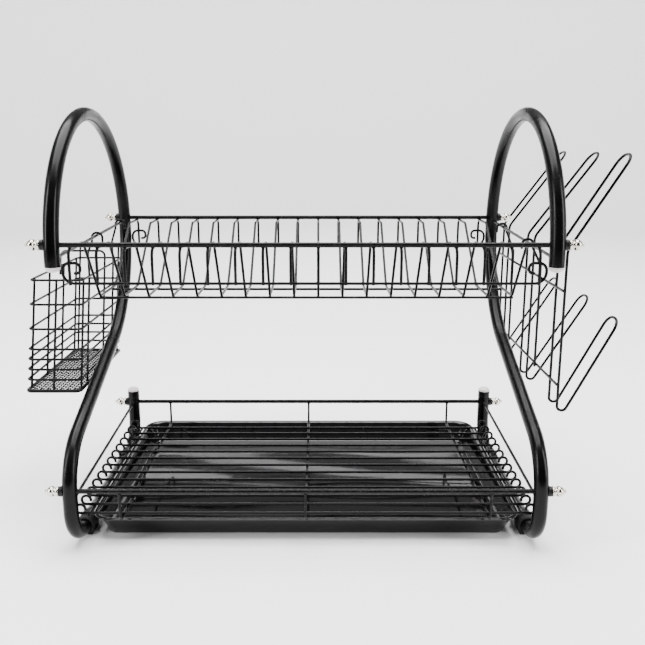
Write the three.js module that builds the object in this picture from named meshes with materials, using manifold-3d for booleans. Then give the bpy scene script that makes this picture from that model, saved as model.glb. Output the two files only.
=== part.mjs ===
// A two-tier dish drying rack: two bent tube side frames carry an upper plate rack and a lower wire
// rack over a drip tray. A cutlery basket hangs on its left side and a glass holder on its right.
// Millimetres. X runs left to right, Y front to back, Z up. Heights are above the worktop.
import * as THREE from "three";
import { mergeVertices } from "three/addons/utils/BufferGeometryUtils.js";
import Module from "manifold-3d";

// Side frames
const frameSpacing = 402; // between the axes of the two bent tubes
const tubeDiameter = 12.7;
const tubeWall = 1;
const archRadius = 116;
const archCentreHeight = 258.5;
const frontEndDrop = 6.5; // the tube goes straight down this far below the arch centre
const slopeAngle = 21.5; // of the straight that runs down to the front, in degrees
const shoulderRadius = 50;
const floorBendRadius = 30;
const postSetback = 3; // the rear post stands this far in front of the back of the arch
const postTop = 71.5;
const footThickness = 3;

// Rails and their fasteners
const railDiameter = 4.2;
const upperRailRise = 11; // above the arch centre
const lowerRailHeight = 58.5;
const holeClearance = 0.3;
const restGap = 0.3;
const weldGap = 0.1;
const washerDiameter = 9;
const washerThickness = 2.4;
const saddleDepth = 1.4;
const nutLength = 12.3;
const nutBore = 5.8;
const stayDiameter = 2.8;

// Upper plate rack
const dividerCount = 18;
const dividerInset = 7.65; // of the end dividers from the tubes
const dividerDiameter = 2.2;
const lowWireDrop = 31; // below the rail axis
const crestDrop = 2.5; // of the dividers' tops, which pass under the rails
const crestWidth = 39;
const crestRadius = 7;
const troughDrop = 56.5;
const troughShares = [0.33, 0.448]; // of the gap between the rails, in front of and behind the trough
const scrollWidth = 14;
const scrollHeight = 16.5;

// Lower rack
const gridHeight = 33.5;
const gridWireCount = 13;
const gridWireDiameter = 2.2;
const gridFront = 9.5;
const gridBackInset = 18.5;
const curlRadius = 4;
const sideWireInset = 12;
const hangerInset = 42;

// Drip tray
const trayHeight = 22;
const trayFront = 20;
const trayLength = 245;
const traySideClearance = 1.2;
const trayFlare = [8, 11.5]; // of its sides and of its ends
const trayWall = 1.6;
const trayRim = 4;
const trayCorner = 20;
const trayBaseCorner = 8;

// Cutlery basket
const basketFront = 70;
const basketLength = 143;
const basketRake = 28; // its top hoop is this far behind its floor
const basketWidth = 49;
const basketWireDiameter = 1.8;
const basketFloorDrop = 145; // below the upper rails
const hoopDrops = [46, 68, 90, 108, 117, 126, 135];
const basketHookPlaces = [125, 211];
const crossLoopDrop = 30;
const crossLoopPlace = 0.56; // of the basket's length, from its front
const basketFloorThickness = 0.9;

// Glass holder
const holderWireDiameter = 2.2;
const holderStandoff = 17; // of its upright wires from the axis of the tube
const holderFirstLoop = 38;
const holderLoopWidth = 23;
const holderBendDrop = 8; // of the loops' upper bends, below the upper rails
const holderFoot = 161;
const prongReaches = [48, 57, 57];
const upperProngRise = 70;
const lowerProngRise = 93;
const crossWireDrops = [42, 124];
const holderHookPlaces = [86, 184];

const hookRadius = 5;
const hookEnd = 9;

const tubeRadius = tubeDiameter / 2;
const railRadius = railDiameter / 2;
const stayRadius = stayDiameter / 2;
const framePlane = frameSpacing / 2;
const upperRailHeight = archCentreHeight + upperRailRise;
const archLean = archRadius - Math.sqrt(archRadius ** 2 - upperRailRise ** 2);
const upperRails = [archLean, 2 * archRadius - archLean];
const postPlace = 2 * archRadius - postSetback;
const lowerRails = [0, postPlace];
const floorRunHeight = footThickness + tubeRadius;
const washerFace = framePlane + tubeRadius + washerThickness;
const nutFace = washerFace + restGap;
const railLength = 2 * (nutFace + nutBore - 2 * restGap);
const railGap = upperRails[1] - upperRails[0];
const trough = [upperRails[0] + troughShares[0] * railGap, upperRails[1] - troughShares[1] * railGap];
const dividerEdge = framePlane - tubeRadius - dividerInset;
const dividerPitch = (2 * dividerEdge) / (dividerCount - 1);
const dividerRadius = dividerDiameter / 2;
const crestTouch = crestRadius + railRadius + dividerRadius + weldGap;
const legInset = crestRadius - Math.sqrt(crestTouch ** 2 - (crestRadius + crestDrop) ** 2);
const dividerLegs = [upperRails[0] - legInset, upperRails[1] + legInset];
const radians = THREE.MathUtils.degToRad;

const blackPaint = { color: 0x0b0b0d, roughness: 0.25, metalness: 0 };
const chrome = { color: 0xd8d8d6, roughness: 0.12, metalness: 1 };
const blackPlastic = { color: 0x08080a, roughness: 0.2, metalness: 0 };
const clearPlastic = { color: 0xe9e4e2, roughness: 0.35, metalness: 0 };
const rubber = { color: 0x121212, roughness: 0.8, metalness: 0 };

const rack = new THREE.Group();
const solids = await Module();
solids.setup();

function place(name, geometry, finish, parent = rack) {
  const mesh = new THREE.Mesh(geometry, new THREE.MeshStandardMaterial(finish));
  mesh.name = name;
  parent.add(mesh);
  return mesh;
}

// A geometry as a manifold solid, for joining and cutting.
function solidOf(geometry) {
  const bare = geometry.clone();
  bare.deleteAttribute("normal");
  bare.deleteAttribute("uv");
  const merged = mergeVertices(bare, 1e-4);
  const mesh = new solids.Mesh({
    numProp: 3,
    vertProperties: new Float32Array(merged.attributes.position.array),
    triVerts: new Uint32Array(merged.index.array),
  });
  return new solids.Manifold(mesh);
}

function geometryOf(solid) {
  const mesh = solid.getMesh();
  const geometry = new THREE.BufferGeometry();
  geometry.setAttribute("position", new THREE.BufferAttribute(mesh.vertProperties, 3));
  geometry.setIndex(new THREE.BufferAttribute(mesh.triVerts, 1));
  geometry.computeVertexNormals();
  return geometry;
}

const joined = (pieces) => geometryOf(pieces.map(solidOf).reduce((whole, piece) => whole.add(piece)));

function cut(body, tools) {
  return geometryOf(tools.map(solidOf).reduce((left, tool) => left.subtract(tool), solidOf(body)));
}

// A bent wire's centre line. Each station is a point and the direction that the wire runs in there.
class BentLine extends THREE.Curve {
  constructor(stations) {
    super();
    this.stations = stations;
  }

  getPointAt(u, target = new THREE.Vector3()) {
    return target.copy(this.station(u).point);
  }

  getTangentAt(u, target = new THREE.Vector3()) {
    return target.copy(this.station(u).direction);
  }

  station(u) {
    return this.stations[Math.round(u * (this.stations.length - 1))];
  }
}

const corner = (x, y, z, bend = 0) => ({ point: new THREE.Vector3(x, y, z), bend });

// Stations for straight runs between corners, each corner rounded to its bend radius.
function bentStations(corners, bendSteps) {
  const last = corners.length - 1;
  const heading = (from, to) => corners[to].point.clone().sub(corners[from].point).normalize();
  const stations = [{ point: corners[0].point, direction: heading(0, 1) }];
  for (let i = 1; i < last; i += 1) {
    const into = heading(i - 1, i);
    const out = heading(i, i + 1);
    const turn = into.angleTo(out);
    const axis = new THREE.Vector3().crossVectors(into, out).normalize();
    const start = corners[i].point.clone().addScaledVector(into, -corners[i].bend * Math.tan(turn / 2));
    const inward = new THREE.Vector3().crossVectors(axis, into);
    const centre = start.clone().addScaledVector(inward, corners[i].bend);
    for (let step = 0; step <= bendSteps; step += 1) {
      const angle = (turn * step) / bendSteps;
      const arm = inward.clone().multiplyScalar(-corners[i].bend).applyAxisAngle(axis, angle);
      const direction = into.clone().applyAxisAngle(axis, angle);
      stations.push({ point: centre.clone().add(arm), direction });
    }
  }
  stations.push({ point: corners[last].point, direction: heading(last - 1, last) });
  return stations;
}

// A round section swept along stations, with an even number of sides.
function swept(stations, radius, sides, bore = 0) {
  const section = new THREE.Shape().absarc(0, 0, radius, 0, 2 * Math.PI);
  if (bore) section.holes.push(new THREE.Path().absarc(0, 0, bore, 0, 2 * Math.PI));
  const steps = stations.length - 1;
  return new THREE.ExtrudeGeometry(section, {
    steps,
    curveSegments: sides / 2,
    extrudePath: new BentLine(stations),
  });
}

const wire = (corners, diameter, bendSteps = 1, sides = 6) =>
  swept(bentStations(corners, bendSteps), diameter / 2, sides);

const rodAlongX = (radius, length, sides) =>
  new THREE.CylinderGeometry(radius, radius, length, sides).rotateZ(Math.PI / 2);

// Stations round an arc in the plane of a side frame, turning from one angle to another.
function arcStations(x, y, z, radius, from, to, stepAngle) {
  const steps = Math.ceil(Math.abs(to - from) / stepAngle);
  const way = Math.sign(to - from);
  return Array.from({ length: steps + 1 }, (_, i) => {
    const angle = radians(from + ((to - from) * i) / steps);
    const point = new THREE.Vector3(x, y + radius * Math.cos(angle), z + radius * Math.sin(angle));
    const direction = new THREE.Vector3(0, -Math.sin(angle) * way, Math.cos(angle) * way);
    return { point, direction };
  });
}

// The centre line of a side frame: up from the front end, over the arch, down the slope to the
// front, down the front leg, back along the floor and up the rear post.
function frameStations(x) {
  const archEnd = slopeAngle - 90;
  const endY = archRadius + archRadius * Math.cos(radians(archEnd));
  const endZ = archCentreHeight + archRadius * Math.sin(radians(archEnd));
  const shoulderStart = 90 + slopeAngle;
  const startY = shoulderRadius + shoulderRadius * Math.cos(radians(shoulderStart));
  const startZ = endZ - (endY - startY) * Math.tan(radians(slopeAngle));
  const shoulderZ = startZ - shoulderRadius * Math.sin(radians(shoulderStart));
  const bendZ = floorRunHeight + floorBendRadius;
  const up = new THREE.Vector3(0, 0, 1);
  return [
    { point: new THREE.Vector3(x, 0, archCentreHeight - frontEndDrop), direction: up },
    ...arcStations(x, archRadius, archCentreHeight, archRadius, 180, archEnd, 15),
    ...arcStations(x, shoulderRadius, shoulderZ, shoulderRadius, shoulderStart, 180, 17.5),
    ...arcStations(x, floorBendRadius, bendZ, floorBendRadius, 180, 270, 22.5),
    ...arcStations(x, postPlace - floorBendRadius, bendZ, floorBendRadius, 270, 360, 22.5),
    { point: new THREE.Vector3(x, postPlace, postTop), direction: up },
  ];
}

// The stay across the arch that the accessories hang on climbs slightly to the back.
const upperStay = {
  front: corner(0, archLean + tubeRadius, upperRailHeight - 11.8).point,
  back: corner(0, upperRails[1] - tubeRadius, upperRailHeight - 3.2).point,
};
const lowerStay = {
  front: corner(0, tubeRadius, lowerRailHeight - 12).point,
  back: corner(0, postPlace - tubeRadius, lowerRailHeight - 1).point,
};

function stayHeight(stay, y) {
  const along = (y - stay.front.y) / (stay.back.y - stay.front.y);
  return stay.front.z + along * (stay.back.z - stay.front.z);
}

// A stay runs a little into the tube at both ends, where it is welded on.
function stayRod(stay, x) {
  const weld = tubeWall / 2;
  const ends = [stay.front.y - weld, stay.back.y + weld];
  return wire(ends.map((y) => corner(x, y, stayHeight(stay, y))), stayDiameter);
}

function sideFrame(x) {
  const tube = swept(frameStations(x), tubeRadius, 10, tubeRadius - tubeWall);
  const hole = (y, z) =>
    rodAlongX(railRadius + holeClearance, 2 * tubeDiameter, 8).translate(x, y, z);
  const holes = [
    ...upperRails.map((y) => hole(y, upperRailHeight)),
    ...lowerRails.map((y) => hole(y, lowerRailHeight)),
  ];
  const stays = [upperStay, lowerStay].map((stay) => stayRod(stay, x));
  return joined([cut(tube, holes), ...stays]);
}

// A domed plug pressed into an open tube end. It is turned about Z, with the dome upwards.
function endPlug() {
  const bore = tubeRadius - tubeWall - holeClearance;
  const outline = [
    [0, -8],
    [bore, -8],
    [bore, restGap],
    [tubeRadius - 0.1, restGap],
    [tubeRadius - 0.3, 2],
    [tubeRadius - 2, 3.6],
    [2.2, 4.4],
    [0, 4.6],
  ];
  return new THREE.LatheGeometry(outline.map(([r, z]) => new THREE.Vector2(r, z)), 10).rotateX(Math.PI / 2);
}

// A cap nut with a collar, a recessed neck, a bulb and a small tip. Its face is at X = 0.
function capNut() {
  const bore = railRadius + holeClearance;
  const outline = [
    [0, nutBore],
    [bore, nutBore],
    [bore, 0],
    [4.3, 0],
    [4.3, 1.9],
    [3.2, 2.3],
    [3.2, 3.9],
    [4.4, 4.5],
    [4.6, 6.6],
    [3.4, 9.2],
    [1.7, 10.6],
    [1.4, nutLength - 0.3],
    [0, nutLength],
  ];
  return new THREE.LatheGeometry(outline.map(([r, x]) => new THREE.Vector2(r, x)), 8).rotateZ(-Math.PI / 2);
}

// A plastic washer hollowed to sit on the side of the tube. Its outer face is at X = 0.
function saddleWasher() {
  const length = washerThickness + saddleDepth;
  const disc = rodAlongX(washerDiameter / 2, length, 10).translate(-length / 2, 0, 0);
  const tube = new THREE.CylinderGeometry(tubeRadius + 2 * restGap, tubeRadius + 2 * restGap, 30, 20);
  tube.rotateX(Math.PI / 2).translate(-washerThickness - tubeRadius, 0, 0);
  const bore = rodAlongX(railRadius + holeClearance, 4 * length, 8);
  return cut(disc, [tube, bore]);
}

// A rubber sleeve round the floor run of the tube, flat underneath.
function rubberFoot() {
  const sleeve = 8.2;
  const pad = 6.5;
  const lift = 0.5;
  const outline = new THREE.Shape();
  outline.moveTo(-pad, -floorRunHeight);
  outline.lineTo(pad, -floorRunHeight);
  outline.absarc(0, 0, sleeve, -lift, Math.PI + lift);
  outline.closePath();
  outline.holes.push(new THREE.Path().absarc(0, 0, tubeRadius + holeClearance, 0, 2 * Math.PI));
  const foot = new THREE.ExtrudeGeometry(outline, { depth: 20, bevelEnabled: false, curveSegments: 6 });
  return foot.rotateX(Math.PI / 2).translate(0, 10, floorRunHeight);
}

function addSideFrames() {
  for (const [side, way] of [["left", -1], ["right", 1]]) {
    const x = way * framePlane;
    place(`side_frame_${side}`, sideFrame(x), blackPaint);
    place(`end_plug_front_${side}`, endPlug().rotateX(Math.PI), clearPlastic).position.set(
      x,
      0,
      archCentreHeight - frontEndDrop,
    );
    place(`end_plug_post_${side}`, endPlug(), clearPlastic).position.set(x, postPlace, postTop);
    const footInset = floorBendRadius + 12;
    for (const [end, y] of [["front", footInset], ["rear", postPlace - footInset]]) {
      place(`rubber_foot_${end}_${side}`, rubberFoot(), rubber).position.set(x, y, 0);
    }
  }
}

function addRailsAndFasteners() {
  const rails = [
    ["upper_front", upperRails[0], upperRailHeight],
    ["upper_rear", upperRails[1], upperRailHeight],
    ["lower_front", lowerRails[0], lowerRailHeight],
    ["lower_rear", lowerRails[1], lowerRailHeight],
  ];
  for (const [name, y, z] of rails) {
    place(`${name}_rail`, rodAlongX(railRadius, railLength, 8), blackPaint).position.set(0, y, z);
    for (const [side, turn] of [["left", Math.PI], ["right", 0]]) {
      const end = new THREE.Group();
      end.position.set(0, y, z);
      end.rotation.z = turn;
      rack.add(end);
      place(`cap_nut_${name}_${side}`, capNut(), chrome, end).position.x = nutFace;
      place(`saddle_washer_${name}_${side}`, saddleWasher(), blackPlastic, end).position.x = washerFace;
    }
  }
}

// A W of wire in a plane across the rack, whose slots hold the plates on edge.
function plateDivider() {
  const [frontLeg, backLeg] = dividerLegs;
  const foot = upperRailHeight - lowWireDrop - dividerRadius;
  const top = upperRailHeight - crestDrop;
  const floor = upperRailHeight - troughDrop;
  return wire(
    [
      corner(0, frontLeg, foot),
      corner(0, frontLeg, top, crestRadius),
      corner(0, frontLeg + crestWidth, top, 5),
      corner(0, trough[0], floor, 5),
      corner(0, trough[1], floor, 5),
      corner(0, backLeg - crestWidth, top, 5),
      corner(0, backLeg, top, crestRadius),
      corner(0, backLeg, foot),
    ],
    dividerDiameter,
  );
}

// A long wire low on the rack, whose ends rise and curl inwards into scrolls.
function lowWire(y) {
  const z = upperRailHeight - lowWireDrop;
  const edge = framePlane - tubeRadius - dividerRadius - restGap;
  const scroll = (way) => [
    corner(way * (edge - scrollWidth + 5), y, z + scrollHeight / 2),
    corner(way * (edge - scrollWidth), y, z + scrollHeight / 2, 3),
    corner(way * (edge - scrollWidth), y, z + scrollHeight, 4),
    corner(way * edge, y, z + scrollHeight, 6),
    corner(way * edge, y, z, 9),
  ];
  return wire([...scroll(-1), ...scroll(1).reverse()], dividerDiameter, 2);
}

function addUpperRack() {
  const behindLeg = 2 * dividerRadius + weldGap;
  place("low_front_wire", lowWire(dividerLegs[0] + behindLeg), blackPaint);
  place("low_rear_wire", lowWire(dividerLegs[1] - behindLeg), blackPaint);
  const floorWireZ = upperRailHeight - troughDrop - 2 * dividerRadius - weldGap;
  const floorWireLength = 2 * dividerEdge + 2 * dividerDiameter;
  for (const [name, y] of [["front", trough[0] + 4], ["rear", trough[1] - 7]]) {
    const floorWire = rodAlongX(dividerRadius, floorWireLength, 6);
    place(`rack_floor_wire_${name}`, floorWire, blackPaint).position.set(0, y, floorWireZ);
  }
  for (let i = 0; i < dividerCount; i += 1) {
    const number = String(i + 1).padStart(2, "0");
    place(`plate_divider_${number}`, plateDivider(), blackPaint).position.x = i * dividerPitch - dividerEdge;
  }
}

// A wire across the lower rack, with both ends curled up and inwards into open rings.
function curledWire(y) {
  const reach = framePlane - 1 - curlRadius;
  const rise = 2 * curlRadius;
  const curl = (way) => [
    corner(way * (reach - curlRadius), y, gridHeight + 0.7 * curlRadius),
    corner(way * (reach - curlRadius), y, gridHeight + rise, 0.95 * curlRadius),
    corner(way * (reach + curlRadius), y, gridHeight + rise, 0.95 * curlRadius),
    corner(way * (reach + curlRadius), y, gridHeight, 0.95 * curlRadius),
  ];
  return wire([...curl(-1), ...curl(1).reverse()], gridWireDiameter);
}

// A wire that hangs from both lower rails and carries the cross wires.
function hangerWire(x) {
  const z = gridHeight - 0.85 * gridWireDiameter;
  const top = lowerRailHeight - railRadius - restGap;
  const [front, back] = lowerRails;
  const line = [corner(x, front, top), corner(x, front, z, 5), corner(x, back, z, 5), corner(x, back, top)];
  return wire(line, gridWireDiameter);
}

function addLowerRack() {
  const back = postPlace - gridBackInset;
  const pitch = (back - gridFront) / (gridWireCount - 1);
  const wires = Array.from({ length: gridWireCount }, (_, i) => curledWire(gridFront + i * pitch));
  const sideX = framePlane - sideWireInset;
  const sideZ = gridHeight - 0.85 * gridWireDiameter;
  for (const x of [-sideX, sideX]) {
    wires.push(wire([corner(x, gridFront - 2, sideZ), corner(x, back + 2, sideZ)], gridWireDiameter));
  }
  const hangerX = framePlane - hangerInset;
  for (const x of [-hangerX, 0, hangerX]) wires.push(hangerWire(x));
  place("lower_grid", joined(wires), blackPaint);
}

function roundedOutline(width, length, radius) {
  const x = width / 2;
  const y = length / 2;
  const outline = new THREE.Shape();
  outline.absarc(x - radius, y - radius, radius, 0, Math.PI / 2);
  outline.absarc(radius - x, y - radius, radius, Math.PI / 2, Math.PI);
  outline.absarc(radius - x, radius - y, radius, Math.PI, 1.5 * Math.PI);
  outline.absarc(x - radius, radius - y, radius, 1.5 * Math.PI, 2 * Math.PI);
  outline.closePath();
  return outline;
}

// A block with a rounded outline, wider and longer at the top than at the bottom by a flare.
function flaredBlock(width, length, height, radius, [sideFlare, endFlare]) {
  const options = { depth: height, bevelEnabled: false, curveSegments: 4 };
  const block = new THREE.ExtrudeGeometry(roundedOutline(width, length, radius), options);
  const points = block.attributes.position;
  for (let i = 0; i < points.count; i += 1) {
    if (points.getZ(i) < height / 2) continue;
    points.setX(i, points.getX(i) + sideFlare * Math.sign(points.getX(i)));
    points.setY(i, points.getY(i) + endFlare * Math.sign(points.getY(i)));
  }
  return block;
}

function addDripTray() {
  const rimWidth = 2 * (framePlane - tubeRadius - traySideClearance);
  const baseWidth = rimWidth - 2 * (trayFlare[0] + trayRim);
  const baseLength = trayLength - 2 * (trayFlare[1] + trayRim);
  const shell = flaredBlock(baseWidth, baseLength, trayHeight, trayBaseCorner, trayFlare);
  const rim = flaredBlock(rimWidth, trayLength, trayWall, trayCorner, [0, 0]);
  rim.translate(0, 0, trayHeight - trayWall);
  const inside = flaredBlock(
    baseWidth - 2 * trayWall,
    baseLength - 2 * trayWall,
    trayHeight,
    trayBaseCorner - trayWall,
    trayFlare,
  ).translate(0, 0, trayWall);
  const tray = cut(joined([shell, rim]), [inside]);
  place("drip_tray", tray, blackPlastic).position.y = trayFront + trayLength / 2;
}

// A hook that climbs up the accessory from a line of corners, passes over the stay and ends inside it.
function hookWire(way, y, foot, kneeZ, diameter) {
  const top = stayHeight(upperStay, y) + stayRadius + restGap + diameter / 2;
  const outer = way * (framePlane + hookRadius);
  const inner = way * (framePlane - hookRadius);
  const bend = 0.95 * hookRadius;
  return wire(
    [
      ...foot,
      corner(foot[0].point.x, y, kneeZ, 4),
      corner(outer, y, top - hookRadius - 3, 4),
      corner(outer, y, top, bend),
      corner(inner, y, top, bend),
      corner(inner, y, top - hookEnd),
    ],
    diameter,
    2,
  );
}

// The cutlery basket is four wire walls that meet at its corners, over a mesh floor. It leans back, so
// every wire of it is placed on the floor and then shifted back by its height.
function addCutleryBasket() {
  const d = basketWireDiameter;
  const innerX = framePlane + tubeRadius + restGap + d;
  const outerX = innerX + basketWidth;
  const back = basketFront + basketLength;
  const floorZ = upperRailHeight - basketFloorDrop;
  const topZ = upperRailHeight - hoopDrops[0];
  const loopZ = upperRailHeight - crossLoopDrop;
  const levels = [...hoopDrops.map((drop) => upperRailHeight - drop), floorZ];
  const inset = d + weldGap;
  const lap = 0.7 * d;
  const raked = (x, y, z, radius) => corner(-x, y + (basketRake * (z - floorZ)) / (topZ - floorZ), z, radius);
  const rod = (from, to) => wire([from, to], d, 1, 4);
  const upright = (x, y) => rod(raked(x, y, floorZ - lap), raked(x, y, topZ + lap));
  const sideRuns = (x) => levels.map((z) => rod(raked(x, basketFront, z), raked(x, back, z)));
  const endRuns = (y) => levels.map((z) => rod(raked(innerX + inset, y, z), raked(outerX - inset, y, z)));
  const crossLoop = (y, near, far, farZ) =>
    wire([raked(near, y, floorZ), raked(near, y, loopZ, 6), raked(far, y, loopZ, 6), raked(far, y, farZ)], d, 1, 4);
  const span = (share) => basketFront + share * basketLength;
  const middleX = innerX + basketWidth / 2;
  const hooks = basketHookPlaces.map((y) => {
    const foot = [raked(innerX + lap, y - basketRake, floorZ - lap), corner(-innerX - lap, y, topZ, 12)];
    return hookWire(-1, y, foot, topZ + 22, d);
  });
  const middleLoop = crossLoop(span(crossLoopPlace), innerX + lap, outerX - lap - inset, topZ - 8);
  const innerWall = [...sideRuns(innerX), upright(innerX + lap, span(0.06)), middleLoop, ...hooks];
  place("basket_inner_wall", joined(innerWall), blackPaint);
  const outerUprights = [0.06, 0.35, 0.65, 0.94].map((share) => upright(outerX - lap, span(share)));
  place("basket_outer_wall", joined([...sideRuns(outerX), ...outerUprights]), blackPaint);
  place("basket_front_wall", joined([...endRuns(basketFront), upright(middleX, basketFront + lap)]), blackPaint);
  const rearLoop = crossLoop(back - lap, innerX + 2 * inset, outerX - 2 * inset, floorZ);
  place("basket_rear_wall", joined([...endRuns(back), rearLoop]), blackPaint);
  const margin = 2 * (d / 2 + lap + restGap);
  const floor = new THREE.BoxGeometry(basketWidth - margin, basketLength - margin, basketFloorThickness);
  place("basket_floor", floor, blackPaint).position.set(-middleX, basketFront + basketLength / 2, floorZ);
}

// A loop of the glass holder, from one side: out and up at the top, down, and out and up again.
function holderLoop(middleY, reach) {
  const x = framePlane + holderStandoff;
  const tipX = x + reach;
  const foot = upperRailHeight - holderFoot;
  const half = holderLoopWidth / 2;
  const overlap = 1;
  const side = (y, way) => [
    corner(tipX, middleY + way * overlap, upperRailHeight + upperProngRise),
    corner(tipX, y, upperRailHeight + upperProngRise, 0.8 * half),
    corner(x, y, upperRailHeight - holderBendDrop, 12),
    corner(x, y, foot, 4.2),
    corner(tipX, y, foot + lowerProngRise, 0.8 * half),
    corner(tipX, middleY + way * overlap, foot + lowerProngRise),
  ];
  return [-1, 1].map((way) => wire(side(middleY + way * half, -way), holderWireDiameter, 2));
}

function addGlassHolder() {
  const d = holderWireDiameter;
  const x = framePlane + holderStandoff - 0.8 * d;
  const pitch = (upperRails[1] - holderFirstLoop) / 2;
  const places = prongReaches.map((_, i) => holderFirstLoop + i * pitch);
  const reach = holderLoopWidth / 2 + d;
  const ends = [places[0] - reach, places[2] + reach];
  const levels = crossWireDrops.map((drop) => upperRailHeight - drop);
  const crossWires = levels.map((z) => wire(ends.map((y) => corner(x, y, z)), d));
  const hookX = x - 0.8 * d;
  const hooks = holderHookPlaces.map((y) => hookWire(1, y, [corner(hookX, y, levels[1] - d)], levels[0] + 12, d));
  const loops = places.flatMap((place, i) => holderLoop(place, prongReaches[i]));
  const holder = joined([...loops, ...crossWires, ...hooks]);
  place("glass_holder", holder, blackPaint);
}

addSideFrames();
addRailsAndFasteners();
addUpperRack();
addLowerRack();
addDripTray();
addCutleryBasket();
addGlassHolder();

// The part's origin is on the worktop, under the middle of the whole object.
rack.updateMatrixWorld(true);
const bounds = new THREE.Box3().setFromObject(rack, true);
const middle = bounds.getCenter(new THREE.Vector3());
rack.position.set(-middle.x, -middle.y, -bounds.min.z);

const object = new THREE.Group();
object.add(rack);

export default object;
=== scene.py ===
import math

import bmesh
import bpy
from mathutils import Matrix, Vector


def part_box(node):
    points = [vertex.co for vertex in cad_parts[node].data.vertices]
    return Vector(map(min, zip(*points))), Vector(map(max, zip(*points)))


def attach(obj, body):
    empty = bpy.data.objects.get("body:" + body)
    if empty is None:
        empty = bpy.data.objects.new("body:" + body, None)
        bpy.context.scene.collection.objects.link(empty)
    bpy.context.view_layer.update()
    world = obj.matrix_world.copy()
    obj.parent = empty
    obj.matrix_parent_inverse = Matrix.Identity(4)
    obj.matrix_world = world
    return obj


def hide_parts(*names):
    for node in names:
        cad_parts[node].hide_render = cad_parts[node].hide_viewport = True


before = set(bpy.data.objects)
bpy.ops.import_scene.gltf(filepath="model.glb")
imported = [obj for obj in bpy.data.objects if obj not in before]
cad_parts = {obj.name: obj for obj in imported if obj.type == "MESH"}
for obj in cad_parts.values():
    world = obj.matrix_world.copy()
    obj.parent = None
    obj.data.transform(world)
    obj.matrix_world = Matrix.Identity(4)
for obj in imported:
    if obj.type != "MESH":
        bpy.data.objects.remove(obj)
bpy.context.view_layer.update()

# Where the rack stands: the rails' axes, the planes of the two side frames and the worktop, all read
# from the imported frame. Every later section takes its places from these.
upper_front = sum(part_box("upper_front_rail"), Vector()) / 2
upper_rear = sum(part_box("upper_rear_rail"), Vector()) / 2
lower_front = sum(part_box("lower_front_rail"), Vector()) / 2
lower_rear = sum(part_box("lower_rear_rail"), Vector()) / 2
frame_planes = [sum(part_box(f"side_frame_{side}"), Vector()).x / 2 for side in ("left", "right")]
middle_x = sum(frame_planes) / 2
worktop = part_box("rubber_foot_front_left")[0].z

# The camera stands in front of the rack, a little right of its middle, and looks slightly down.
camera_back = 0.592
camera_rise = 0.078
camera_right = 0.0107
camera_pitch = math.radians(12.2)
camera_data = bpy.data.cameras.new("camera")
camera_data.sensor_width = 36
camera_data.lens = 41.86
camera_data.shift_x = 0.007
camera_data.shift_y = -0.0247
camera = bpy.data.objects.new("camera", camera_data)
bpy.context.scene.collection.objects.link(camera)
camera_spot = Vector((middle_x + camera_right, upper_front.y - camera_back, upper_front.z + camera_rise))
camera_tilt = Matrix.Rotation(math.pi / 2 - camera_pitch, 4, "X")
camera.matrix_world = Matrix.Translation(camera_spot) @ camera_tilt
bpy.context.scene.camera = camera

# The studio: a pale floor that curves up all round into a pale wall, under three soft lights. A dark
# curtain hangs behind the camera, so that glossy black surfaces stay black from the front.
studio_radius = 2.6
cove_radius = 0.9
wall_height = 1.5
curtain_radius = 1.9
curtain_height = 1.7


def plain_material(name, color, roughness):
    material = bpy.data.materials.new(name)
    material.use_nodes = True
    shader = material.node_tree.nodes["Principled BSDF"]
    shader.inputs["Base Color"].default_value = (*color, 1)
    shader.inputs["Roughness"].default_value = roughness
    return material


def studio_shell():
    cove = [(studio_radius + cove_radius * math.sin(a), cove_radius * (1 - math.cos(a)))
            for a in (math.pi / 2 * i / 12 for i in range(13))]
    profile = [(0.0, 0.0), (1.0, 0.0), *cove, (studio_radius + cove_radius, wall_height)]
    mesh = bmesh.new()
    rings = 64
    rows = [[mesh.verts.new((r * math.cos(math.tau * k / rings), r * math.sin(math.tau * k / rings), z))
             for k in range(rings)] for r, z in profile[1:]]
    centre = mesh.verts.new((0, 0, 0))
    for k in range(rings):
        mesh.faces.new((centre, rows[0][k], rows[0][(k + 1) % rings]))
        for low, high in zip(rows, rows[1:]):
            mesh.faces.new((low[k], high[k], high[(k + 1) % rings], low[(k + 1) % rings]))
    bmesh.ops.recalc_face_normals(mesh, faces=mesh.faces)
    data = bpy.data.meshes.new("studio_floor")
    mesh.to_mesh(data)
    mesh.free()
    data.shade_smooth()
    data.materials.append(plain_material("studio_white", (0.93, 0.93, 0.93), 0.9))
    shell = bpy.data.objects.new("studio_floor", data)
    shell.location.z = worktop
    bpy.context.scene.collection.objects.link(shell)


def dark_curtain():
    """A gently pleated curtain on an arc round the front of the rack."""
    mesh = bmesh.new()
    rows = []
    for z in (0.03, 0.5, 1.0, curtain_height):
        row = []
        for k in range(121):
            angle = math.radians(212 + 116 * k / 120)
            radius = curtain_radius + 0.02 * math.sin(k * 1.1)
            row.append(mesh.verts.new((radius * math.cos(angle), radius * math.sin(angle), z)))
        rows.append(row)
    for low, high in zip(rows, rows[1:]):
        for k in range(120):
            mesh.faces.new((low[k], low[k + 1], high[k + 1], high[k]))
    data = bpy.data.meshes.new("dark_curtain")
    mesh.to_mesh(data)
    mesh.free()
    data.shade_smooth()
    data.materials.append(plain_material("curtain_cloth", (0.01, 0.01, 0.01), 1.0))
    curtain = bpy.data.objects.new("dark_curtain", data)
    curtain.location.z = worktop
    bpy.context.scene.collection.objects.link(curtain)


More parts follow.
